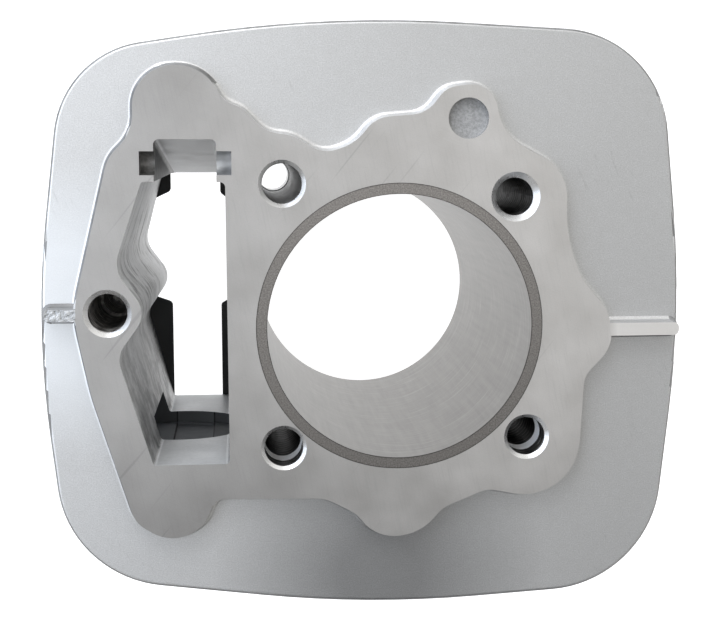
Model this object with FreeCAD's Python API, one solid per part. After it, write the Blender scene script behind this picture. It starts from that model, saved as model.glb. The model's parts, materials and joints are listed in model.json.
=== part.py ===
import FreeCAD, Part
import math
import os

# Cylinder barrel of a small air-cooled four-stroke engine with a chain-driven overhead camshaft.
# Millimetres. +Z is the bore axis, pointing out of the deck face towards the cylinder head.
# The origin is on the bore axis in the plane of the deck. +X runs away from the cam chain tunnel,
# and +Y runs to the front of the engine.

# Bore and liner
BORE_R = 31.75
LINER_R = 34.4
BASE_Z = -86.0
SPIGOT_END_Z = -103.0
LINER_CHAMFER = 0.3
SPIGOT_R = 33.9
SPIGOT_SHOULDER = 0.4
SPIGOT_CHAMFER = 1.8

# Casting body
BARREL_R = 40.5
STUD_BOSS_R = 9.5
BODY_TOP_Z = -1.0
FLANGE_T = 8.0
DECK_T = 7.0
DECK_DRAFT = 0.7
DECK_FILLET = 1.0

# Cooling fins: the top of the first one lies below the deck by FIN_DROP
FIN_DROP = 4.5
FIN_PITCH = 9.0
FIN_T = 2.4
FIN_RIM = 0.9
FIN_SIZES = [1.0, 1.0, 1.0, 1.0, 0.995, 0.985, 0.965, 0.94]
FIN_CENTRE = (-7.8, 1.4)

# Stud holes: x, y, radius of the hole and outer radius of its chamfered mouth
STUDS = {
    "front_left": (-28.0, 34.2, 4.7, 5.6),
    "front_right": (27.4, 31.0, 4.5, 5.9),
    "rear_left": (-28.0, -28.8, 4.65, 5.45),
    "rear_right": (31.0, -27.2, 4.65, 5.55),
}
REAR_STUD_R = 4.45
RELIEF_TOP = 6.3
RELIEF_R = 5.65
RELIEF_LEDGE_OUTER = 9.4
RELIEF_LEDGE_INNER = 10.4
SIDE_HOLE = (-69.0, 4.1, 4.6, 5.65)
SIDE_BOSS_R = 8.0
SIDE_HOLE_DEPTH = 30.0
SIDE_DRILL_R = 3.9
SIDE_DRILL_DEPTH = 50.0

# Cam chain tunnel
TUNNEL_FRONT_Y = 44.5
TUNNEL_FRONT_BASE_Y = 34.8
TUNNEL_STEP_Y = 34.6
GUIDE_SLOT_X = (-57.6, -43.2)
GUIDE_SEAT_Y = 39.0
GUIDE_SEAT_R = 2.75
GUIDE_SEAT_DEPTH = 2.6
GUIDE_SEAT_X = (-60.9, -39.7)
TUNNEL_REAR_Y = -32.4
SLOT_ROUND = 1.2

# Cam chain tensioner seat on the rear of the tunnel, and the window that it opens into
TENSIONER_X = -51.0
TENSIONER_Z = -31.5
TENSIONER_FACE_Y = -59.0
TENSIONER_BORE_R = 7.0
TENSIONER_PLATE_R = 12.0
TENSIONER_EAR_R = 7.0
TENSIONER_BOLT_OFFSET = 16.0
TENSIONER_BOLT_R = 2.5
TENSIONER_BOLT_DEPTH = 14.0
WINDOW_R = 18.0
WINDOW_X = -54.0
WINDOW_Z = -44.5
WINDOW_DEPTH = 3.0
CHANNEL_W = 10.6
CHANNEL_HEIGHT = 31.0
CHANNEL_DEPTH = 0.8
NOTCH_FRONT_Y = -44.0
NOTCH_LENGTH = 60.0
NOTCH_ROUND = 5.0

# Small features of the casting
RECESS = (15.9, 49.4)
RECESS_R = 4.8
RECESS_DEPTH = 2.0
LEFT_RIB_Y = 3.7
RIGHT_RIB_Y = -1.1
LEFT_RIB_W = 2.8
RIGHT_RIB_W = 3.1
RIB_NOSE = 0.8
RIB_ROOT = 0.2
RIB_DRAFT = 0.3
RIB_FLARE = 0.7
LEFT_RIB_START_X = -72.0
LEFT_RIB_END_X = -83.6
RIGHT_RIB_START_X = 46.0
RIGHT_RIB_END_X = 68.2

# Base joint: gasket and two hollow dowels, whose pressed-in end is a little thicker
GASKET_T = 0.8
GASKET_INSET = 0.3
GASKET_SPIGOT_R = 34.9
GASKET_STUD_R = 4.75
GASKET_DOWEL_R = 5.9
DOWEL_STUDS = ("front_left", "rear_right")
DOWEL_SEAT_R = 5.7
DOWEL_R = 5.5
DOWEL_BORE_R = 4.45
DOWEL_SEAT = 7.0
DOWEL_LENGTH = 14.0
DOWEL_GAP = 0.1
DOWEL_BEVEL = 0.5

# Outlines: x, y and the radius of the round at each corner, clockwise seen from the deck
DECK_OUTLINE = [
    (-77.0, 4.0, 25.0), (-68.0, 40.5, 10.0), (-62.0, 46.0, 10.5), (-62.5, 61.0, 9.5),
    (-46.0, 61.5, 10.5), (-41.5, 53.5, 5.0), (-37.0, 51.5, 5.0), (-31.5, 46.0, 8.0),
    (-25.5, 45.5, 9.5), (-18.5, 41.0, 7.5), (-11.0, 43.5, 11.0), (-6.0, 49.5, 7.5),
    (6.0, 50.5, 7.5), (10.5, 56.5, 6.0), (21.5, 58.0, 6.5), (24.0, 45.5, 12.0),
    (40.0, 37.0, 11.0), (39.5, 21.5, 36.0), (44.0, 11.0, 16.5), (50.5, 3.5, 9.5),
    (52.0, -5.0, 8.0), (45.0, -12.5, 6.0), (43.5, -44.5, 13.5), (21.5, -40.0, 6.0),
    (10.5, -44.5, 7.5), (5.5, -50.5, 12.5), (-5.5, -52.0, 10.0), (-10.5, -45.5, 8.5),
    (-18.0, -41.5, 9.5), (-44.5, -41.0, 3.5), (-47.0, -47.0, 6.0), (-54.0, -52.5, 9.5),
    (-63.5, -46.5, 7.0), (-73.0, -16.0, 60.0),
]
FIN_OUTLINE = [
    (-86.5, 0.0, 228.0), (-78.5, 64.0, 24.0), (-18.0, 73.5, 313.0), (63.0, 69.5, 27.0),
    (70.5, 2.5, 246.0), (64.0, -66.5, 28.5), (-7.0, -70.5, 288.0), (-80.0, -61.0, 28.0),
]
TUNNEL_OUTLINE = [
    (-60.5, 34.8, 1.0), (-41.2, 34.6, 1.2), (-40.9, -32.4, 1.0), (-59.0, -32.4, 1.0),
    (-67.0, -6.0, 6.0), (-59.6, 4.2, 6.0), (-67.3, 14.5, 7.0),
]
TUNNEL_BASE_SHIFT = [0.0, 0.0, 0.0, 0.8, 1.4, 1.4, 1.4]
HOUSING_OUTLINE = [
    (-62.5, 50.0, 6.0), (-38.0, 50.0, 6.0), (-34.0, 38.0, 6.0), (-34.0, -37.5, 5.0),
    (-62.0, -37.5, 5.0), (-71.5, -10.0, 8.0), (-71.5, 18.0, 8.0),
]
FLANGE_OUTLINE = [
    (-78.0, 4.0, 12.0), (-66.0, 48.0, 10.0), (-20.0, 48.0, 30.0), (38.0, 45.0, 14.0),
    (44.0, 0.0, 60.0), (42.0, -41.0, 14.0), (-20.0, -42.0, 40.0), (-67.0, -41.0, 10.0),
]
GASKET_TUNNEL_OUTLINE = [
    (-58.2, 38.5, 1.5), (-43.6, 38.5, 1.5), (-43.6, 28.8, 1.5), (-40.6, 26.5, 1.5),
    (-40.6, -2.6, 1.0), (-43.7, -4.4, 1.0), (-43.7, -36.5, 1.5), (-58.2, -36.5, 1.5),
    (-58.2, -3.8, 1.5), (-67.5, -0.5, 1.5), (-67.5, 25.0, 3.0), (-58.2, 29.4, 1.5),
]

X_AXIS = FreeCAD.Vector(1, 0, 0)
Y_AXIS = FreeCAD.Vector(0, 1, 0)
Z_AXIS = FreeCAD.Vector(0, 0, 1)


def corner_angle(before, corner, after):
    """Unit vectors from a corner to its neighbours, and half the angle between them."""
    to_before = (before - corner).normalize()
    to_after = (after - corner).normalize()
    return to_before, to_after, to_before.getAngle(to_after) / 2


def outline_wire(corners, z):
    """Closed wire through the corners, each rounded by a tangent arc of its own radius."""
    points = [FreeCAD.Vector(x, y, z) for x, y, _ in corners]
    ends = []
    for i, (_, _, radius) in enumerate(corners):
        to_before, to_after, half = corner_angle(points[i - 1], points[i], points[(i + 1) % len(points)])
        reach = radius / math.tan(half)
        bisector = (to_before + to_after).normalize()
        middle = points[i] + bisector * (radius / math.sin(half) - radius)
        ends.append((points[i] + to_before * reach, middle, points[i] + to_after * reach))
    edges = []
    for i, (start, middle, end) in enumerate(ends):
        edges.append(Part.Arc(start, middle, end).toShape())
        edges.append(Part.LineSegment(end, ends[(i + 1) % len(ends)][0]).toShape())
    return Part.Wire(edges)


def grow(corners, distance):
    """The same clockwise outline moved outwards by a distance, or inwards if it is negative."""
    points = [FreeCAD.Vector(x, y, 0) for x, y, _ in corners]
    grown = []
    for i, (x, y, radius) in enumerate(corners):
        to_before, to_after, half = corner_angle(points[i - 1], points[i], points[(i + 1) % len(points)])
        inwards = (to_before + to_after).normalize()
        convex = to_before.cross(to_after).z > 0
        step = -distance / math.sin(half) if convex else distance / math.sin(half)
        moved = points[i] + inwards * step
        grown.append((moved.x, moved.y, radius + distance if convex else radius - distance))
    return grown


def scaled(corners, factor, centre):
    """The outline scaled about a centre, corner radii included."""
    cx, cy = centre
    return [(cx + (x - cx) * factor, cy + (y - cy) * factor, r * factor) for x, y, r in corners]


def slab(corners, z_low, z_high):
    """Straight-sided solid of an outline between two heights."""
    face = Part.Face(outline_wire(corners, z_low))
    return face.extrude(FreeCAD.Vector(0, 0, z_high - z_low))


def tapered(sections):
    """Solid through a list of (outline, height), with straight sides from one to the next."""
    return Part.makeLoft([outline_wire(corners, z) for corners, z in sections], True, True)


def rod(x, y, radius, z_low, z_high):
    """Upright cylinder between two heights."""
    return Part.makeCylinder(radius, z_high - z_low, FreeCAD.Vector(x, y, z_low), Z_AXIS)


def turned(x, y, profile):
    """Solid of revolution about the upright axis through x, y, from (radius, z) points."""
    points = [FreeCAD.Vector(x + r, y, z) for r, z in profile]
    face = Part.Face(Part.makePolygon(points + points[:1]))
    return face.revolve(FreeCAD.Vector(x, y, 0), Z_AXIS, 360)


def joined(shapes):
    """One shape from several that touch or overlap, added in turn."""
    shape = shapes[0]
    for other in shapes[1:]:
        shape = shape.fuse(other)
    return shape


def cut_by(shape, tools):
    """A shape with each tool taken out of it in turn."""
    for tool in tools:
        shape = shape.cut(tool)
    return shape


def deck_plate():
    """Raised deck whose side leans in towards the machined face."""
    return tapered([(grow(DECK_OUTLINE, DECK_DRAFT), -DECK_T), (DECK_OUTLINE, 0.0)])


def deck_on_top_fin():
    """The deck and the top fin, with a cast fillet in the corner between them."""
    plate = deck_plate()
    shape = plate.fuse(fin(0))
    corner = [edge for edge in shape.Edges
              if abs(edge.BoundBox.ZMin + FIN_DROP) < 0.02 and abs(edge.BoundBox.ZMax + FIN_DROP) < 0.02
              and plate.distToShape(Part.Vertex(edge.valueAt(sum(edge.ParameterRange) / 2)))[0] < 0.01]
    return shape.makeFillet(DECK_FILLET, corner).Solids[0]


def fin(index):
    """One cooling fin with a rounded rim."""
    top = -FIN_DROP - index * FIN_PITCH
    plate = slab(scaled(FIN_OUTLINE, FIN_SIZES[index], FIN_CENTRE), top - FIN_T, top)
    rim = [edge for edge in plate.Edges if abs(edge.BoundBox.ZLength) < 0.01]
    return plate.makeFillet(FIN_RIM, rim).Solids[0]


def rib(x_start, x_end, y_middle, width):
    """Rib with a rounded end that ties the fins together and is flush with the deck."""
    low = -FIN_DROP - (len(FIN_SIZES) - 1) * FIN_PITCH - FIN_T / 2
    half = width / 2
    nose = half * RIB_NOSE
    corners = [
        (x_start, y_middle - half, RIB_ROOT), (x_start, y_middle + half, RIB_ROOT),
        (x_end, y_middle + half, nose), (x_end, y_middle - half, nose),
    ]
    if x_end < x_start:
        corners.reverse()
    foot = grow(corners, RIB_DRAFT)
    flare = grow(foot, RIB_FLARE)
    return tapered([(foot, low), (foot, -FIN_DROP - FIN_T / 2), (flare, -FIN_DROP),
                    (foot, -FIN_DROP + RIB_FLARE), (corners, 0.0)])


def barrel_body():
    """Wall round the liner with the stud bosses, the chain tunnel housing and the base flange."""
    solids = [rod(0, 0, BARREL_R, BASE_Z, BODY_TOP_Z)]
    for x, y, _, _ in STUDS.values():
        solids.append(rod(x, y, STUD_BOSS_R, BASE_Z, BODY_TOP_Z))
    solids.append(rod(SIDE_HOLE[0], SIDE_HOLE[1], SIDE_BOSS_R, BASE_Z, BODY_TOP_Z))
    solids.append(slab(HOUSING_OUTLINE, BASE_Z, BODY_TOP_Z))
    solids.append(slab(FLANGE_OUTLINE, BASE_Z, BASE_Z + FLANGE_T))
    return solids


def tensioner_boss():
    """Oval flat seat for the chain tensioner, standing out of the tunnel's rear wall."""
    depth = TUNNEL_REAR_Y - WINDOW_DEPTH - TENSIONER_FACE_Y
    solids = []
    for offset, radius in ((-TENSIONER_BOLT_OFFSET, TENSIONER_EAR_R), (0.0, TENSIONER_PLATE_R),
                           (TENSIONER_BOLT_OFFSET, TENSIONER_EAR_R)):
        centre = FreeCAD.Vector(TENSIONER_X + offset, TENSIONER_FACE_Y, TENSIONER_Z)
        solids.append(Part.makeCylinder(radius, depth, centre, Y_AXIS))
    corner = FreeCAD.Vector(TENSIONER_X - TENSIONER_BOLT_OFFSET, TENSIONER_FACE_Y,
                            TENSIONER_Z - TENSIONER_EAR_R)
    solids.append(Part.makeBox(2 * TENSIONER_BOLT_OFFSET, depth, 2 * TENSIONER_EAR_R, corner))
    return solids


def tensioner_notch():
    """Room cut out of the fins behind the tensioner seat."""
    half_height = TENSIONER_PLATE_R + 2.0
    half_width = TENSIONER_BOLT_OFFSET + TENSIONER_EAR_R + 3.0
    box = Part.makeBox(2 * half_width, NOTCH_LENGTH, 2 * half_height,
                       FreeCAD.Vector(TENSIONER_X - half_width, NOTCH_FRONT_Y - NOTCH_LENGTH,
                                      TENSIONER_Z - half_height))
    upright = [edge for edge in box.Edges
               if edge.BoundBox.ZLength > 1 and abs(edge.BoundBox.YMax - NOTCH_FRONT_Y) < 0.1]
    return box.makeFillet(NOTCH_ROUND, upright).Solids[0]


def tensioner_cuts():
    """Round window into the tunnel, its shallow channel, the plunger bore and two bolt holes."""
    inner_y = TUNNEL_REAR_Y - WINDOW_DEPTH
    window = Part.makeCylinder(WINDOW_R, WINDOW_DEPTH + 6.0, FreeCAD.Vector(WINDOW_X, inner_y, WINDOW_Z),
                               Y_AXIS)
    channel = Part.makeBox(CHANNEL_W, CHANNEL_DEPTH + 1.0, CHANNEL_HEIGHT,
                           FreeCAD.Vector(TENSIONER_X - CHANNEL_W / 2, inner_y - CHANNEL_DEPTH,
                                          WINDOW_Z - CHANNEL_HEIGHT / 2))
    bore = Part.makeCylinder(TENSIONER_BORE_R, inner_y - TENSIONER_FACE_Y + 0.5,
                             FreeCAD.Vector(TENSIONER_X, TENSIONER_FACE_Y, TENSIONER_Z), Y_AXIS)
    cuts = [window, channel, bore]
    for side in (-1, 1):
        start = FreeCAD.Vector(TENSIONER_X + side * TENSIONER_BOLT_OFFSET, TENSIONER_FACE_Y, TENSIONER_Z)
        cuts.append(Part.makeCylinder(TENSIONER_BOLT_R, TENSIONER_BOLT_DEPTH, start, Y_AXIS))
    return cuts


def tunnel_cuts():
    """Chain tunnel with its wavy outer wall, sloping front slot and two seats for the chain guide."""
    base = [(x + shift, y, r) for (x, y, r), shift in zip(TUNNEL_OUTLINE, TUNNEL_BASE_SHIFT)]
    main = tapered([(TUNNEL_OUTLINE, 0.0), (base, BASE_Z)])
    left, right = GUIDE_SLOT_X
    points = [(TUNNEL_STEP_Y - 4.0, 0.0), (TUNNEL_FRONT_Y, 0.0), (TUNNEL_FRONT_BASE_Y, BASE_Z),
              (TUNNEL_STEP_Y - 4.0, BASE_Z)]
    side = [FreeCAD.Vector(left, y, z) for y, z in points]
    front = Part.Face(Part.makePolygon(side + side[:1])).extrude(FreeCAD.Vector(right - left, 0, 0))
    corners = [edge for edge in front.Edges
               if edge.BoundBox.ZLength > 50 and edge.BoundBox.YMax > TUNNEL_STEP_Y]
    cuts = [main, front.makeFillet(SLOT_ROUND, corners).Solids[0]]
    seat_left, seat_right = GUIDE_SEAT_X
    length = seat_right - seat_left
    cuts.append(Part.makeCylinder(GUIDE_SEAT_R, length,
                                  FreeCAD.Vector(seat_left, GUIDE_SEAT_Y, -GUIDE_SEAT_DEPTH), X_AXIS))
    cuts.append(Part.makeBox(length, 2 * GUIDE_SEAT_R, GUIDE_SEAT_DEPTH,
                             FreeCAD.Vector(seat_left, GUIDE_SEAT_Y - GUIDE_SEAT_R, -GUIDE_SEAT_DEPTH)))
    return cuts


def mouth(x, y, radius, mouth_r, depth):
    """Straight hole from the deck down to a depth, with a chamfered mouth."""
    return turned(x, y, [(0, 0), (mouth_r, 0), (radius, radius - mouth_r), (radius, -depth), (0, -depth)])


def stud_cuts(name):
    """One stud hole; the rear ones widen below the mouth and narrow again at a sloping ledge."""
    x, y, radius, mouth_r = STUDS[name]
    if name.startswith("rear"):
        cuts = [
            mouth(x, y, radius, mouth_r, RELIEF_TOP + 1.0),
            turned(x, y, [(0, -RELIEF_TOP), (RELIEF_R, -RELIEF_TOP), (RELIEF_R, -RELIEF_LEDGE_OUTER),
                          (REAR_STUD_R, -RELIEF_LEDGE_INNER), (0, -RELIEF_LEDGE_INNER)]),
            rod(x, y, REAR_STUD_R, BASE_Z, 0),
        ]
    else:
        cuts = [mouth(x, y, radius, mouth_r, -BASE_Z)]
    if name in DOWEL_STUDS:
        cuts.append(rod(x, y, DOWEL_SEAT_R, BASE_Z, BASE_Z + DOWEL_SEAT))
    return cuts


def side_hole_cuts():
    """Blind hole beside the chain tunnel, with a smaller drilling below it."""
    x, y, radius, mouth_r = SIDE_HOLE
    return [mouth(x, y, radius, mouth_r, SIDE_HOLE_DEPTH),
            rod(x, y, SIDE_DRILL_R, -SIDE_DRILL_DEPTH, -SIDE_HOLE_DEPTH)]


def cylinder_casting():
    """Aluminium casting: deck, fins, ribs, tunnel housing and base flange in one solid."""
    fins = [fin(i).cut(tensioner_notch()) for i in range(1, len(FIN_SIZES))]
    ribs = [rib(LEFT_RIB_START_X, LEFT_RIB_END_X, LEFT_RIB_Y, LEFT_RIB_W),
            rib(RIGHT_RIB_START_X, RIGHT_RIB_END_X, RIGHT_RIB_Y, RIGHT_RIB_W)]
    shape = joined(barrel_body() + tensioner_boss() + [deck_on_top_fin()] + fins + ribs)
    cuts = [rod(0, 0, LINER_R, BASE_Z, 0)]
    cuts += tunnel_cuts() + tensioner_cuts() + side_hole_cuts()
    for name in STUDS:
        cuts += stud_cuts(name)
    cuts.append(rod(RECESS[0], RECESS[1], RECESS_R, -RECESS_DEPTH, 0))
    return cut_by(shape, cuts).removeSplitter()


def cylinder_liner():
    """Cast-iron sleeve, flush with the deck, that reaches below the base as a turned spigot."""
    shoulder_z = BASE_Z - SPIGOT_SHOULDER
    return turned(0, 0, [
        (BORE_R, 0), (LINER_R, 0), (LINER_R, shoulder_z), (SPIGOT_R, shoulder_z - SPIGOT_SHOULDER),
        (SPIGOT_R, SPIGOT_END_Z + SPIGOT_CHAMFER), (SPIGOT_R - SPIGOT_CHAMFER / 2, SPIGOT_END_Z),
        (BORE_R + LINER_CHAMFER, SPIGOT_END_Z), (BORE_R, SPIGOT_END_Z + LINER_CHAMFER),
    ])


def base_gasket():
    """Black sheet gasket under the base flange, with its own narrower tunnel opening."""
    low = BASE_Z - GASKET_T
    sheet = slab(grow(FLANGE_OUTLINE, -GASKET_INSET), low, BASE_Z)
    cuts = [rod(0, 0, GASKET_SPIGOT_R, low, BASE_Z), slab(GASKET_TUNNEL_OUTLINE, low, BASE_Z)]
    for name, (x, y, _, _) in STUDS.items():
        radius = GASKET_DOWEL_R if name in DOWEL_STUDS else GASKET_STUD_R
        cuts.append(rod(x, y, radius, low, BASE_Z))
    return cut_by(sheet, cuts)


def base_dowel(name):
    """Hollow dowel in the base end of a stud hole, standing out towards the crankcase."""
    x, y, _, _ = STUDS[name]
    top = BASE_Z + DOWEL_SEAT - DOWEL_GAP
    low = top - DOWEL_LENGTH
    shoulder = BASE_Z - GASKET_T
    bevel = DOWEL_BEVEL
    return turned(x, y, [
        (DOWEL_BORE_R, low), (DOWEL_R - bevel, low), (DOWEL_R, low + bevel), (DOWEL_R, shoulder),
        (DOWEL_SEAT_R, shoulder + bevel), (DOWEL_SEAT_R, top - bevel), (DOWEL_SEAT_R - bevel, top),
        (DOWEL_BORE_R, top),
    ])


def write(name, shape):
    """Save one node as a single clean solid."""
    solid = shape.Solids[0]
    assert len(shape.Solids) == 1 and solid.isValid(), name
    solid.exportStep("parts/" + name + ".step")
    print(name, round(solid.Volume, 1), [round(v, 2) for v in (
        solid.BoundBox.XMin, solid.BoundBox.YMin, solid.BoundBox.ZMin,
        solid.BoundBox.XMax, solid.BoundBox.YMax, solid.BoundBox.ZMax)])


os.makedirs("parts", exist_ok=True)
write("cylinder_casting", cylinder_casting())
write("cylinder_liner", cylinder_liner())
write("base_gasket", base_gasket())
for stud in DOWEL_STUDS:
    write("base_dowel_" + stud, base_dowel(stud))
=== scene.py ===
import json
import math

import bpy
from mathutils import Matrix, Vector


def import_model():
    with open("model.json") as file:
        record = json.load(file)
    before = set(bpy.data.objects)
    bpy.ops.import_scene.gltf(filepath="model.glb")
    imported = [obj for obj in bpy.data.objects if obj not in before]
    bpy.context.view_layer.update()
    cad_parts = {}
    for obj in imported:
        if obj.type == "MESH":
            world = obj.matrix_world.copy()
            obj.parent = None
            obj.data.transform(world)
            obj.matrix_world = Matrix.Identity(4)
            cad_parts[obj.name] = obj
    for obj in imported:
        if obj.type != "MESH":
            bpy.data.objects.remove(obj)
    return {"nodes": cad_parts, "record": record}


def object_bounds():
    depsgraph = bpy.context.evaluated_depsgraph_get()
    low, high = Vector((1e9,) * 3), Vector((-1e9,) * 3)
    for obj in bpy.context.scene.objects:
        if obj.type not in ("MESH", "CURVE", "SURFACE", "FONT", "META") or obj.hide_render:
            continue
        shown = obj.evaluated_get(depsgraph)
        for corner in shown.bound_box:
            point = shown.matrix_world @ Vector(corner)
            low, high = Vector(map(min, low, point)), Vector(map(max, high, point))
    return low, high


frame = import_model()
cad_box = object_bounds()
MM = 0.001

# Camera above the deck, a little to the front left of the bore axis
CAMERA_PLACE = (-37.92 * MM, 44.12 * MM, 302.98 * MM)
CAMERA_TILT_X = 7.67
CAMERA_TILT_Y = 5.07
LENS = 65.65

# Brightness of the surroundings: all round, added on the left and in front, and taken away behind
WORLD_BASE = 0.82
WORLD_LEFT = 1.7
WORLD_FRONT = 0.6
WORLD_SHADE = 0.97

# Side of the table in metres, and how far it lies below the part
FLOOR_SIZE = 6.0
FLOOR_GAP = 0.02 * MM

# Shallow channel between the two joint lines in the tensioner window
CHANNEL_X = -51.0 * MM
CHANNEL_HALF = 5.3 * MM

# Places on the deck, x and y in mm: the side hole, and the middles of the shade baked into the colours
SIDE_HOLE = (-69.0, 4.1)
PAINT_SHADE = (-4.0, -62.0)
DECK_SHADE_FRONT = (-57.0, 58.0)
DECK_SHADE_REAR = (-36.0, -38.0)

# Radii of the liner's end face
LINER_INNER = 31.75 * MM
LINER_OUTER = 34.4 * MM


# ---------------------------------------------------------------- shader helpers

class Tree:
    """A new node material and short ways of adding nodes to it."""

    def __init__(self, name):
        self.mat = bpy.data.materials.new(name)
        self.mat.use_nodes = True
        self.nodes = self.mat.node_tree.nodes
        self.links = self.mat.node_tree.links
        self.shader = self.nodes["Principled BSDF"]
        self.coords = self.nodes.new("ShaderNodeTexCoord").outputs["Object"]

    def add(self, kind, inputs=(), **settings):
        """A node with its settings, and its inputs linked or given a value."""
        node = self.nodes.new(kind)
        for key, value in settings.items():
            setattr(node, key, value)
        for key, value in dict(inputs).items():
            self.feed(node.inputs[key], value)
        return node

    def feed(self, socket, value):
        if isinstance(value, bpy.types.NodeSocket):
            self.links.new(value, socket)
        else:
            socket.default_value = value

    def set(self, **values):
        """Feeds the principled shader: names are its sockets with underscores for spaces."""
        for key, value in values.items():
            self.feed(self.shader.inputs[key.replace("_", " ")], value)

    def stretched(self, scale, turn=(0, 0, 0)):
        """Object coordinates stretched by a scale for each axis, after a turn in degrees."""
        angles = [math.radians(angle) for angle in turn]
        turned = self.add("ShaderNodeVectorRotate", {"Vector": self.coords, "Rotation": angles},
                          rotation_type="EULER_XYZ").outputs[0]
        return self.add("ShaderNodeVectorMath", {0: turned, 1: scale}, operation="MULTIPLY").outputs[0]

    def noise(self, size_mm, detail=3.0, rough=0.5, vector=None):
        """Noise between 0 and 1 with features of about a size."""
        return self.add("ShaderNodeTexNoise", {"Vector": vector or self.coords, "Scale": 1.0 / (size_mm * MM),
                                               "Detail": detail, "Roughness": rough}).outputs["Fac"]

    def ramp(self, value, low, high, to_low=0.0, to_high=1.0):
        """Value mapped from one range to another and kept inside it."""
        return self.add("ShaderNodeMapRange", {"Value": value, "From Min": low, "From Max": high,
                                               "To Min": to_low, "To Max": to_high}).outputs["Result"]

    def maths(self, operation, a, b=0.0):
        return self.add("ShaderNodeMath", {0: a, 1: b}, operation=operation).outputs[0]

    def mix(self, factor, a, b):
        """Colour a where the factor is 0 and b where it is 1."""
        node = self.add("ShaderNodeMix", data_type="RGBA")
        self.feed(node.inputs["Factor"], factor)
        self.feed(node.inputs[6], (*a, 1) if isinstance(a, tuple) else a)
        self.feed(node.inputs[7], (*b, 1) if isinstance(b, tuple) else b)
        return node.outputs[2]

    def bump(self, height, depth_mm, strength=1.0, normal=None):
        node = self.add("ShaderNodeBump", {"Height": height, "Distance": depth_mm * MM, "Strength": strength})
        if normal is not None:
            self.feed(node.inputs["Normal"], normal)
        return node.outputs[0]

    def axis(self, name):
        return self.add("ShaderNodeSeparateXYZ", {0: self.coords}).outputs[name]

    def distance(self, x_mm, y_mm):
        """Distance from an upright line through a point of the deck."""
        flat = self.stretched((1, 1, 0))
        spot = (x_mm * MM, y_mm * MM, 0)
        return self.add("ShaderNodeVectorMath", {0: flat, 1: spot}, operation="DISTANCE").outputs["Value"]

    def shaded(self, colour, *levels):
        """Colour darkened by each level, a number between 0 (black) and 1."""
        for level in levels:
            colour = self.mix(level, (0, 0, 0), colour)
        return colour


def grey(value, warm=0.0):
    """Linear colour near grey, warmer or, if negative, bluer."""
    return (value * (1 + warm), value, value * (1 - warm))


# ---------------------------------------------------------------- materials

def painted_casting():
    """Silver paint over the cast skin, with a fine sparkle and a few rubbed patches."""
    t = Tree("silver_paint")
    flake = t.noise(0.3, 2.0, 0.6)
    mottle = t.noise(2.2, 4.0, 0.6)
    wide = t.noise(45.0, 2.0, 0.5)
    base = t.mix(t.ramp(flake, 0.35, 0.68), grey(0.52, 0.0), grey(0.68, 0.0))
    base = t.mix(t.ramp(mottle, 0.3, 0.75, 0.0, 0.3), base, grey(0.50, 0.01))
    scrape = t.noise(1.2, 3.0, 0.7, t.stretched((1.0, 0.16, 1.0), (0, 0, -22)))
    patch = t.ramp(t.noise(24.0, 2.0, 0.5), 0.56, 0.66)
    rubbed = t.maths("MULTIPLY", t.ramp(scrape, 0.6, 0.7, 0.0, 0.4), patch)
    base = t.mix(rubbed, base, grey(0.36, 0.01))
    base = t.mix(t.ramp(wide, 0.35, 0.7, 0.0, 0.1), base, grey(0.45, 0.01))
    # Shade baked into the colour: darker to the right and behind the deck, paler on the far left
    base = t.shaded(base, t.ramp(t.axis("X"), -70 * MM, 60 * MM, 1.0, 0.86),
                    t.ramp(t.distance(*PAINT_SHADE), 10 * MM, 42 * MM, 0.5, 1.0))
    # Painted light: a paler, bluer patch on the far left of the fins
    painted_glow = t.maths("MULTIPLY", t.ramp(t.axis("X"), -56 * MM, -68 * MM),
                   t.ramp(t.maths("ABSOLUTE", t.maths("SUBTRACT", t.axis("Y"), 4 * MM)), 36 * MM, 14 * MM))
    base = t.mix(t.maths("MULTIPLY", painted_glow, 0.6), base, grey(0.84, -0.03))
    t.set(Base_Color=base, Metallic=0.8, Roughness=t.ramp(flake, 0.3, 0.7, 0.36, 0.5))
    rough = t.bump(t.noise(0.4, 2.0), 0.03, 0.5)
    t.set(Normal=t.bump(t.noise(3.5, 3.0), 0.06, 0.3, rough))
    return t.mat


def fin_rim():
    """Edges of the fins: the same paint, painted darker as painted shade, and nicked bright here and there.
    """
    t = Tree("fin_rim")
    nick = t.noise(1.8, 3.0, 0.7)
    rim_shade = t.noise(6.0, 3.0, 0.6)
    # Painted shade: the rims are painted much darker than the fin tops
    base = t.mix(t.ramp(rim_shade, 0.35, 0.7), grey(0.14), grey(0.26))
    base = t.mix(t.ramp(nick, 0.70, 0.76), base, grey(0.62))
    t.set(Base_Color=base, Metallic=0.6, Roughness=t.ramp(rim_shade, 0.3, 0.7, 0.4, 0.6))
    t.set(Normal=t.bump(nick, 0.05, 0.5))
    return t.mat


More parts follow.
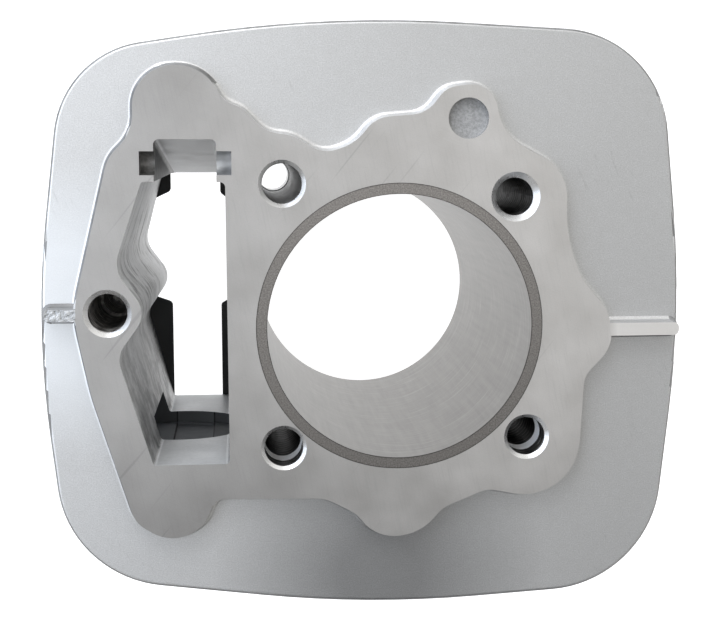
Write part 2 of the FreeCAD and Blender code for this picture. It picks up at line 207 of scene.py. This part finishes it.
def machined_face():
    """Milled aluminium: fine marks both ways, faint stains and small scratches."""
    t = Tree("machined_face")
    marks_a = t.noise(0.35, 2.0, 0.7, t.stretched((0.06, 1.0, 1.0), (0, 0, 24)))
    marks_b = t.noise(0.5, 2.0, 0.7, t.stretched((1.0, 0.05, 1.0), (0, 0, -12)))
    scratch = t.noise(1.6, 1.0, 0.5, t.stretched((0.03, 1.0, 1.0), (0, 0, -51)))
    stain = t.noise(14.0, 4.0, 0.55)
    grain = t.noise(0.3, 2.0, 0.6)
    base = t.mix(t.ramp(stain, 0.35, 0.7), grey(0.55, 0.03), grey(0.62, 0.03))
    base = t.mix(t.ramp(marks_a, 0.45, 0.75, 0.0, 0.16), base, grey(0.66))
    base = t.mix(t.ramp(marks_b, 0.52, 0.75, 0.0, 0.16), base, grey(0.36, 0.01))
    base = t.mix(t.ramp(grain, 0.4, 0.7, 0.0, 0.12), base, grey(0.36, 0.01))
    base = t.mix(t.ramp(scratch, 0.70, 0.74, 0.0, 0.3), base, grey(0.30, 0.01))
    # Shade baked into the colour: darker to the left and rear, with the right rib's top paler
    base = t.shaded(base, t.ramp(t.axis("X"), -60 * MM, 30 * MM, 0.68, 0.95),
                    t.ramp(t.axis("Y"), -44 * MM, -20 * MM, 0.86, 1.0),
                    t.ramp(t.distance(*DECK_SHADE_FRONT), 6 * MM, 24 * MM, 0.88, 1.0),
                    t.ramp(t.distance(*DECK_SHADE_REAR), 5 * MM, 26 * MM, 0.86, 1.0))
    base = t.mix(t.ramp(t.axis("X"), 50.5 * MM, 53 * MM, 0.0, 0.6), base, grey(0.88, 0.02))
    t.set(Base_Color=base, Metallic=0.85, Roughness=t.ramp(stain, 0.3, 0.7, 0.36, 0.46))
    lines = t.bump(marks_a, 0.006, 0.4)
    t.set(Normal=t.bump(marks_b, 0.006, 0.4, lines))
    return t.mat


def cut_edge():
    """Bright turned chamfers and seats."""
    t = Tree("cut_edge")
    soft = t.noise(1.6, 2.0, 0.5)
    t.set(Base_Color=t.mix(soft, grey(0.52), grey(0.68)), Metallic=0.95,
          Roughness=t.ramp(soft, 0.3, 0.7, 0.24, 0.34))
    t.set(Normal=t.bump(t.noise(0.5, 1.0), 0.004, 0.4))
    return t.mat


def torn_rib():
    """Broken cast surface on the end of the left rib."""
    t = Tree("torn_rib")
    lump = t.noise(1.3, 3.0, 0.6)
    crack = t.noise(2.6, 1.0, 0.5, t.stretched((1.0, 0.25, 1.0), (0, 0, 40)))
    base = t.mix(t.ramp(lump, 0.35, 0.65), grey(0.34, -0.03), grey(0.62, -0.01))
    base = t.mix(t.ramp(crack, 0.58, 0.64), base, grey(0.22))
    t.set(Base_Color=base, Metallic=0.7, Roughness=t.ramp(lump, 0.3, 0.7, 0.2, 0.45))
    t.set(Normal=t.bump(lump, 0.5, 0.8))
    return t.mat


def hole_ledge():
    """Sloping ledge part way down the rear stud holes, painted near white as painted light."""
    t = Tree("hole_ledge")
    soft = t.noise(1.6, 2.0, 0.5)
    # Painted light: near white so the ledge reads lit inside the dark hole
    t.set(Base_Color=t.mix(soft, grey(0.86), grey(0.96)), Metallic=0.25,
          Roughness=t.ramp(soft, 0.3, 0.7, 0.4, 0.5))
    t.set(Normal=t.bump(t.noise(0.5, 1.0), 0.004, 0.4))
    return t.mat


def hole_wall():
    """Walls of the stud holes painted near black as painted shade, with thin drill rings painted bright as
    painted glints; the side hole is painted paler as painted light.
    """
    t = Tree("hole_wall")
    z = t.axis("Z")
    wave = t.maths("SINE", t.maths("MULTIPLY", z, 2 * math.pi / (2.2 * MM)))
    broken = t.noise(2.4, 3.0, 0.6)
    rings = t.maths("MULTIPLY", t.ramp(wave, 0.75, 1.0), t.ramp(broken, 0.42, 0.6))
    side = t.ramp(t.distance(*SIDE_HOLE), 8 * MM, 7 * MM)
    # Painted shade: the hole walls are painted near black, and paler near the side hole as painted light
    hole_shade = t.mix(t.ramp(broken, 0.35, 0.7), grey(0.010), grey(0.04, 0.03))
    hole_shade = t.mix(side, hole_shade, t.mix(t.ramp(broken, 0.4, 0.62), grey(0.08, 0.04), grey(0.42, 0.04)))
    shine = t.mix(side, grey(0.4, 0.04), grey(0.98, 0.02))
    t.set(Base_Color=t.mix(rings, hole_shade, shine), Metallic=0.5,
          Roughness=t.ramp(broken, 0.3, 0.7, 0.3, 0.5))
    t.set(Normal=t.bump(wave, 0.03, 0.4))
    return t.mat


def bare_casting():
    """Unpainted cast side walls of the chain tunnel, streaked along with dark rub marks."""
    t = Tree("bare_casting")
    skin = t.noise(0.8, 4.0, 0.6)
    cloud = t.noise(12.0, 3.0, 0.55)
    dark = t.noise(2.4, 4.0, 0.65, t.stretched((0.5, 0.16, 0.7)))
    pale = t.noise(1.6, 3.0, 0.6, t.stretched((0.5, 0.12, 0.7)))
    y = t.axis("Y")
    # Darker towards the rear of the tunnel, in blotches
    rear_darkening = t.maths("MULTIPLY", t.ramp(y, 10 * MM, -24 * MM), t.ramp(t.noise(6.0, 3.0, 0.6), 0.4, 0.6))
    near_bump = t.ramp(t.maths("ABSOLUTE", t.maths("SUBTRACT", y, 13 * MM)), 7 * MM, 14 * MM, 0.9, 0.35)
    rub = t.maths("MULTIPLY", t.ramp(dark, 0.50, 0.66), near_bump)
    base = t.mix(t.ramp(cloud, 0.35, 0.7), grey(0.54), grey(0.66))
    base = t.mix(t.ramp(pale, 0.55, 0.75, 0.0, 0.6), base, grey(0.66, 0.03))
    base = t.mix(rub, base, grey(0.06, 0.04))
    base = t.mix(t.ramp(skin, 0.4, 0.75, 0.0, 0.25), base, grey(0.32, 0.01))
    t.set(Base_Color=t.shaded(base, t.ramp(rear_darkening, 0.0, 1.0, 1.0, 0.42)), Metallic=0.6,
          Roughness=t.ramp(skin, 0.3, 0.7, 0.38, 0.55))
    t.set(Normal=t.bump(skin, 0.05, 0.5))
    return t.mat


def smooth_casting():
    """Cleaner end walls of the chain tunnel, the rear one painted paler as painted light."""
    t = Tree("smooth_casting")
    skin = t.noise(0.8, 3.0, 0.6)
    cloud = t.noise(9.0, 3.0, 0.5)
    base = t.mix(t.ramp(cloud, 0.3, 0.7), grey(0.31, -0.01), grey(0.40, -0.01))
    # Painted light: the rear end wall is painted paler
    base = t.mix(t.ramp(t.axis("Y"), 0.0, -25 * MM), base, grey(0.47, -0.02))
    t.set(Base_Color=t.mix(t.ramp(skin, 0.4, 0.75, 0.0, 0.2), base, grey(0.20)), Metallic=0.6,
          Roughness=t.ramp(cloud, 0.3, 0.7, 0.4, 0.52))
    t.set(Normal=t.bump(skin, 0.04, 0.4))
    return t.mat


def dark_seat_and_shade():
    """Dark guide seat on the left of the tunnel, and the slot wall beside it painted dark as painted shade.
    """
    t = Tree("dark_seat_and_shade")
    cloud = t.noise(1.5, 3.0, 0.6)
    base = t.mix(t.ramp(cloud, 0.3, 0.7), grey(0.10, 0.02), grey(0.27, 0.02))
    scratch = t.noise(1.2, 3.0, 0.6, t.stretched((1.0, 1.0, 0.12), (20, 0, 0)))
    base = t.mix(t.ramp(scratch, 0.58, 0.72, 0.0, 0.5), base, grey(0.40, 0.02))
    # Painted shade: darker below the seat's floor
    t.set(Base_Color=t.shaded(base, t.ramp(t.axis("Z"), -6.5 * MM, -5.5 * MM, 0.55, 1.0)), Metallic=0.6,
          Roughness=t.ramp(cloud, 0.3, 0.7, 0.35, 0.55))
    t.set(Normal=t.bump(cloud, 0.03, 0.5))
    return t.mat


def guide_seat():
    """Smooth guide seat on the right of the tunnel."""
    t = Tree("guide_seat")
    cloud = t.noise(2.5, 2.0, 0.5)
    t.set(Base_Color=t.mix(t.ramp(cloud, 0.3, 0.7), grey(0.36, -0.01), grey(0.50, -0.01)), Metallic=0.8,
          Roughness=t.ramp(cloud, 0.3, 0.7, 0.4, 0.5))
    t.set(Normal=t.bump(t.noise(0.6, 2.0), 0.01, 0.4))
    return t.mat


def recess_floor():
    """As-cast floor of the small round recess, speckled."""
    t = Tree("recess_floor")
    speck = t.noise(0.6, 3.0, 0.7)
    t.set(Base_Color=t.mix(t.ramp(speck, 0.35, 0.65), grey(0.26), grey(0.38)), Metallic=0.5, Roughness=0.6)
    t.set(Normal=t.bump(speck, 0.06, 0.6))
    return t.mat


def window_wall():
    """Surfaces of the tensioner window, painted near black as painted shade, with two joint lines down the
    channel.
    """
    t = Tree("window_wall")
    cloud = t.noise(4.0, 3.0, 0.6)
    x = t.axis("X")
    off = t.maths("ABSOLUTE", t.maths("SUBTRACT", x, CHANNEL_X))
    channel = t.ramp(off, CHANNEL_HALF - 0.1 * MM, CHANNEL_HALF - 0.3 * MM)
    line = t.ramp(t.maths("ABSOLUTE", t.maths("SUBTRACT", off, CHANNEL_HALF)), 0.25 * MM, 0.1 * MM)
    # Painted shade: the window's walls are painted near black
    base = t.mix(t.ramp(cloud, 0.3, 0.7), grey(0.055, -0.07), grey(0.07, -0.07))
    base = t.mix(t.maths("MULTIPLY", channel, 0.5), base, grey(0.13, -0.07))
    t.set(Base_Color=t.mix(line, base, grey(0.004)), Metallic=0.0,
          Roughness=t.ramp(cloud, 0.3, 0.7, 0.6, 0.75))
    t.set(Normal=t.bump(t.noise(0.8, 3.0), 0.03, 0.4))
    return t.mat


def liner_iron():
    """Cast iron: a dull turned end face and a honed bore with crossed marks."""
    t = Tree("liner_iron")
    z = t.axis("Z")
    end_face = t.ramp(z, -0.35 * MM, -0.15 * MM)
    speck = t.noise(0.35, 3.0, 0.7)
    around = t.noise(7.0, 3.0, 0.6)
    up = t.noise(1.4, 3.0, 0.6, t.stretched((1.0, 1.0, 0.06)))
    radius = t.distance(0.0, 0.0)
    joint = t.maths("MAXIMUM", t.ramp(radius, LINER_OUTER - 0.28 * MM, LINER_OUTER - 0.12 * MM),
                    t.ramp(radius, LINER_INNER + 0.22 * MM, LINER_INNER + 0.1 * MM))
    face = t.mix(t.ramp(speck, 0.3, 0.7), grey(0.11, 0.09), grey(0.29, 0.07))
    # Painted shade darkens the end face towards the rear; the two joints at its edges are dark lines
    face = t.shaded(face, t.ramp(t.axis("Y"), -32 * MM, 32 * MM, 0.66, 1.0),
                    t.ramp(joint, 0.0, 1.0, 1.0, 0.35))
    wall = t.mix(t.ramp(up, 0.3, 0.75), grey(0.21, 0.035), grey(0.265, 0.035))
    wall = t.mix(t.ramp(around, 0.4, 0.75, 0.0, 0.3), wall, grey(0.31, 0.035))
    arcs = t.noise(0.9, 3.0, 0.65, t.stretched((0.07, 0.07, 1.0), (9, 6, 0)))
    wall = t.mix(t.ramp(arcs, 0.55, 0.75, 0.0, 0.5), wall, grey(0.44, 0.03))
    wall = t.mix(t.ramp(arcs, 0.42, 0.28, 0.0, 0.4), wall, grey(0.13, 0.03))
    t.set(Base_Color=t.mix(end_face, wall, face), Metallic=t.ramp(end_face, 0.0, 1.0, 0.9, 0.6),
          Roughness=t.ramp(end_face, 0.0, 1.0, 0.34, 0.5))
    hone = t.noise(0.5, 2.0, 0.6, t.stretched((1.0, 1.0, 3.0)))
    t.set(Normal=t.bump(hone, 0.01, 0.4))
    return t.mat


def gasket_sheet():
    """Black coated gasket."""
    t = Tree("gasket_sheet")
    cloud = t.noise(5.0, 3.0, 0.6)
    t.set(Base_Color=t.mix(cloud, grey(0.012, -0.05), grey(0.028, -0.05)),
          Roughness=t.ramp(cloud, 0.3, 0.7, 0.45, 0.65))
    t.set(Normal=t.bump(t.noise(0.6, 2.0), 0.03, 0.5))
    return t.mat


def dowel_steel():
    """Turned steel with fine rings."""
    t = Tree("dowel_steel")
    lines = t.noise(0.5, 2.0, 0.6, t.stretched((0.1, 0.1, 3.0)))
    t.set(Base_Color=t.mix(lines, grey(0.35), grey(0.55)), Metallic=1.0,
          Roughness=t.ramp(lines, 0.3, 0.7, 0.25, 0.4))
    t.set(Normal=t.bump(lines, 0.01, 0.5))
    return t.mat


# ---------------------------------------------------------------- finishes on the CAD nodes

HOLES = [Vector(m["pos_m"]) for m in frame["record"]["mounts"] if "hole" in m["name"]]
HOLE_REACH = 6.2 * MM
HOLE_MOUTH = 1.6 * MM
LEDGE_LOW, LEDGE_HIGH = -11 * MM, -9 * MM
TUNNEL_CENTRE = Vector((-52 * MM, 2 * MM))
TUNNEL_LOW = Vector((-69 * MM, -36.5 * MM, -86.5 * MM))
TUNNEL_HIGH = Vector((-38.5 * MM, 45 * MM, -0.01 * MM))
SEAT_Y = (36.2 * MM, 41.8 * MM)
SEAT_FLOOR = -5.8 * MM
SEAT_LEFT = -57.6 * MM
SEAT_RIGHT = -43.2 * MM
SEAT_MIDDLE = -50.3 * MM
SEAT_REACH = 11 * MM
SLOT_WALL_X = (-61 * MM, -54 * MM)
SLOT_WALL_Y = 34.5 * MM
BODY_REACH = 66 * MM
FIN_MIDDLE = Vector((-7.8 * MM, 1.4 * MM))
RECESS = Vector((15.9 * MM, 49.4 * MM))
RECESS_R = 5.0 * MM
WINDOW = (-54 * MM, -44.5 * MM)
WINDOW_R = (17.2 * MM, 18.3 * MM)
WINDOW_WALL_Y = (-40 * MM, -32.45 * MM)
WINDOW_RIM_Y = -5 * MM
RIB_END = -76 * MM

# Largest or smallest part of a face's normal along an axis, for each way of facing
UPRIGHT = 0.3
RIM_UPRIGHT = 0.9
ACROSS = 0.8
TO_WINDOW = 0.95
TO_SLOT = 0.5
DOWNWARDS = -0.9

# Depths that count as below the deck in a hole and in the recess, and the deck's and base's zones
HOLE_BELOW = -0.01 * MM
RECESS_BELOW = -0.05 * MM
DECK_ZONE = -0.1 * MM
BASE_ZONE = -85 * MM

SKIN, DECK, EDGE, HOLE, LEDGE, TUNNEL, END_WALL, FLOOR, DARK, TORN, DARK_SEAT_AND_SHADE, SEAT, RIM = range(13)


def flat_distance(a, b):
    return math.hypot(a.x - b.x, a.y - b.y)


def surface_of(centre, normal):
    """Which finish a face of the casting has, from where it is and where it faces."""
    upright = abs(normal.z) < UPRIGHT
    if min(flat_distance(centre, hole) for hole in HOLES) < HOLE_REACH and centre.z < HOLE_BELOW:
        if upright:
            return HOLE
        if centre.z > -HOLE_MOUTH:
            return EDGE
        return LEDGE if LEDGE_LOW < centre.z < LEDGE_HIGH else HOLE
    if flat_distance(centre, RECESS) < RECESS_R and centre.z < RECESS_BELOW:
        return EDGE if upright else FLOOR
    if normal.z > UPRIGHT and centre.z > DECK_ZONE:
        return TORN if centre.x < RIB_END else DECK
    to_window = Vector((WINDOW[0] - centre.x, WINDOW[1] - centre.z))
    if to_window.length < WINDOW_R[1] and WINDOW_WALL_Y[0] < centre.y < WINDOW_WALL_Y[1]:
        return DARK
    on_rim = WINDOW_R[0] < to_window.length < WINDOW_R[1] and centre.y < WINDOW_RIM_Y
    if on_rim and to_window.normalized().dot(Vector((normal.x, normal.z))) > TO_WINDOW:
        return DARK
    beside_slot = SEAT_Y[0] < centre.y < SEAT_Y[1] and abs(centre.x - SEAT_MIDDLE) < SEAT_REACH
    if beside_slot and centre.z > SEAT_FLOOR:
        if centre.x < SEAT_LEFT:
            return DARK_SEAT_AND_SHADE
        if centre.x > SEAT_RIGHT:
            return SEAT
    # Painted shade: the slot wall in shade takes the dark seat's finish
    if SLOT_WALL_X[0] < centre.x < SLOT_WALL_X[1] and centre.y > SLOT_WALL_Y and normal.x > TO_SLOT:
        return DARK_SEAT_AND_SHADE
    inside = all(TUNNEL_LOW[i] < centre[i] < TUNNEL_HIGH[i] for i in range(3))
    if inside and upright and (centre.to_2d() - TUNNEL_CENTRE).dot(normal.to_2d()) < 0:
        return END_WALL if abs(normal.y) > ACROSS else TUNNEL
    if normal.z < DOWNWARDS and centre.z < BASE_ZONE:
        return DECK
    outwards = centre.to_2d() - FIN_MIDDLE
    if abs(normal.z) < RIM_UPRIGHT and outwards.length > BODY_REACH and outwards.dot(normal.to_2d()) > 0:
        return RIM
    return SKIN


def finish_casting(obj):
    """Gives each face of the casting its own finish."""
    obj.data.materials.clear()
    for mat in (painted_casting(), machined_face(), cut_edge(), hole_wall(), hole_ledge(),
                bare_casting(), smooth_casting(), recess_floor(), window_wall(), torn_rib(), dark_seat_and_shade(),
                guide_seat(), fin_rim()):
        obj.data.materials.append(mat)
    for face in obj.data.polygons:
        face.material_index = surface_of(face.center, face.normal)


def finish_node(name, mat):
    obj = frame["nodes"][name]
    obj.data.materials.clear()
    obj.data.materials.append(mat)


finish_casting(frame["nodes"]["cylinder_casting"])
finish_node("cylinder_liner", liner_iron())
finish_node("base_gasket", gasket_sheet())
steel = dowel_steel()
finish_node("base_dowel_front_left", steel)
finish_node("base_dowel_rear_right", steel)


# ---------------------------------------------------------------- stage, light and camera

def floor():
    """Pale, softly glowing table under the part, so that it reads as cut out on white."""
    bpy.ops.mesh.primitive_plane_add(size=FLOOR_SIZE, location=(0, 0, cad_box[0][2] - FLOOR_GAP))
    obj = bpy.context.object
    obj.name = "floor"
    t = Tree("pale_floor")
    soft = t.noise(60.0, 2.0, 0.5)
    t.set(Base_Color=t.mix(soft, grey(0.42), grey(0.46)), Roughness=0.9, Emission_Color=(1, 1, 1, 1),
          Emission_Strength=1.0)
    obj.data.materials.append(t.mat)


def area_light(name, place, target, size, power):
    """Soft square light aimed at a point."""
    data = bpy.data.lights.new(name, "AREA")
    data.size = size
    data.energy = power
    obj = bpy.data.objects.new(name, data)
    obj.location = place
    obj.rotation_euler = (Vector(target) - Vector(place)).to_track_quat("-Z", "Y").to_euler()
    bpy.context.collection.objects.link(obj)


def world():
    """Surroundings of a bright room: brightest to the left and front, dark towards the rear."""
    w = bpy.data.worlds.new("studio")
    w.use_nodes = True
    nodes, links = w.node_tree.nodes, w.node_tree.links

    def add(kind, *values, **settings):
        node = nodes.new(kind)
        for key, value in settings.items():
            setattr(node, key, value)
        for i, value in enumerate(values):
            if isinstance(value, bpy.types.NodeSocket):
                links.new(value, node.inputs[i])
            else:
                node.inputs[i].default_value = value
        return node.outputs[0]

    def ease(value, low, high, start, end):
        return add("ShaderNodeMapRange", value, low, high, start, end, interpolation_type="SMOOTHERSTEP")

    split = nodes.new("ShaderNodeSeparateXYZ")
    links.new(nodes.new("ShaderNodeTexCoord").outputs["Generated"], split.inputs[0])
    x, y = split.outputs["X"], split.outputs["Y"]
    not_behind = ease(y, -0.5, -0.2, 0.0, 1.0)
    left = add("ShaderNodeMath", ease(x, 0.0, -0.45, 0.0, 1.0), not_behind, operation="MULTIPLY")
    behind = ease(y, -0.08, -0.42, 0.0, 1.0)
    front = ease(y, 0.35, 0.9, 0.0, 1.0)
    beside = ease(add("ShaderNodeMath", add("ShaderNodeMath", x, 0.12, operation="SUBTRACT"), 0.0,
                      operation="ABSOLUTE"), 0.12, 0.5, 1.0, 0.3)
    shade = add("ShaderNodeMath", behind, beside, operation="MULTIPLY")
    level = add("ShaderNodeMath", left, WORLD_LEFT, operation="MULTIPLY")
    level = add("ShaderNodeMath", level, WORLD_BASE, operation="ADD")
    lift = add("ShaderNodeMath", front, WORLD_FRONT, operation="MULTIPLY")
    level = add("ShaderNodeMath", level, lift, operation="ADD")
    keep = add("ShaderNodeMath", 1.0, add("ShaderNodeMath", shade, WORLD_SHADE, operation="MULTIPLY"),
               operation="SUBTRACT")
    level = add("ShaderNodeMath", level, keep, operation="MULTIPLY")
    tint = nodes.new("ShaderNodeMix")
    tint.data_type = "RGBA"
    links.new(left, tint.inputs["Factor"])
    tint.inputs[6].default_value = (1.0, 0.99, 0.96, 1)
    tint.inputs[7].default_value = (0.90, 0.97, 1.08, 1)
    background = nodes["Background"]
    links.new(tint.outputs[2], background.inputs["Color"])
    links.new(level, background.inputs["Strength"])
    bpy.context.scene.world = w


def camera():
    data = bpy.data.cameras.new("camera")
    data.lens = LENS
    data.clip_start = 0.01
    obj = bpy.data.objects.new("camera", data)
    turn_y = Matrix.Rotation(math.radians(-CAMERA_TILT_Y), 4, "Y")
    turn_x = Matrix.Rotation(math.radians(-CAMERA_TILT_X), 4, "X")
    obj.matrix_world = Matrix.Translation(CAMERA_PLACE) @ turn_y @ turn_x
    bpy.context.collection.objects.link(obj)
    bpy.context.scene.camera = obj


floor()
world()
area_light("front_high", place=(-0.25, 0.8, 0.55), target=(0, 0, -0.02), size=0.4, power=4.0)
camera()
bpy.context.scene.view_settings.view_transform = "Standard"
